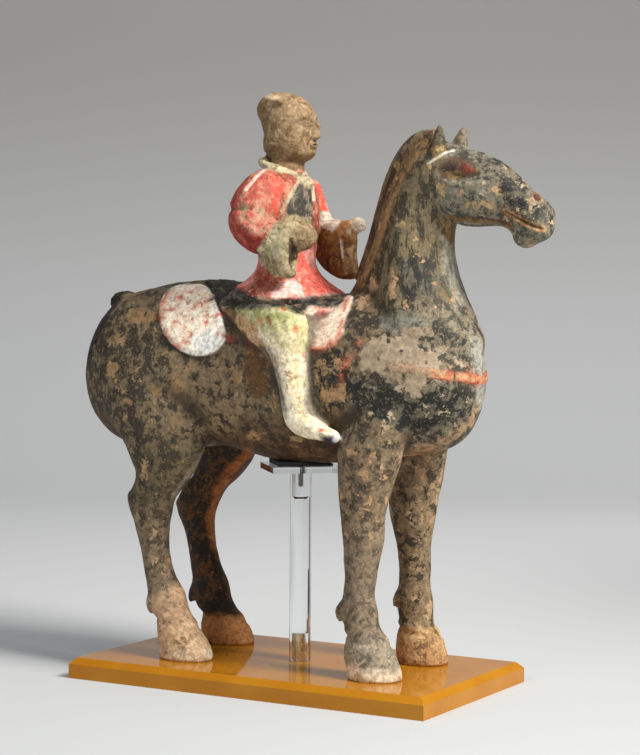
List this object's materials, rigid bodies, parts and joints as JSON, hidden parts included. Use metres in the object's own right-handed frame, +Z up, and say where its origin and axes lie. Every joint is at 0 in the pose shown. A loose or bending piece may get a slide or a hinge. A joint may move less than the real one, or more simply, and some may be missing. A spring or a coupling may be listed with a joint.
{
  "type": "horse and rider figure",
  "caption": "Painted pottery horse and rider standing on its four hooves, held by a clear post and cradle on a bevelled amber acrylic plate.",
  "frame": {"origin": "centre of the acrylic plate's underside", "axes": "+Z up, +X towards the horse's head, +Y to the horse's left"},
  "size_m": [0.4789, 0.205, 0.543],
  "materials": {
    "painted_pottery": "matt",
    "amber_acrylic": "gloss",
    "clear_acrylic": "gloss",
    "black_pad": "matt",
    "dark_screw": "satin",
    "brass_screw": "satin"
  },
  "bodies": {
    "root": {"horse_and_rider": "painted_pottery", "base_plate": "amber_acrylic", "support_post": "clear_acrylic", "cradle_plate": "clear_acrylic", "cradle_pad": "black_pad", "cradle_screw": "dark_screw", "base_screw": "brass_screw"}
  },
  "joints": []
}
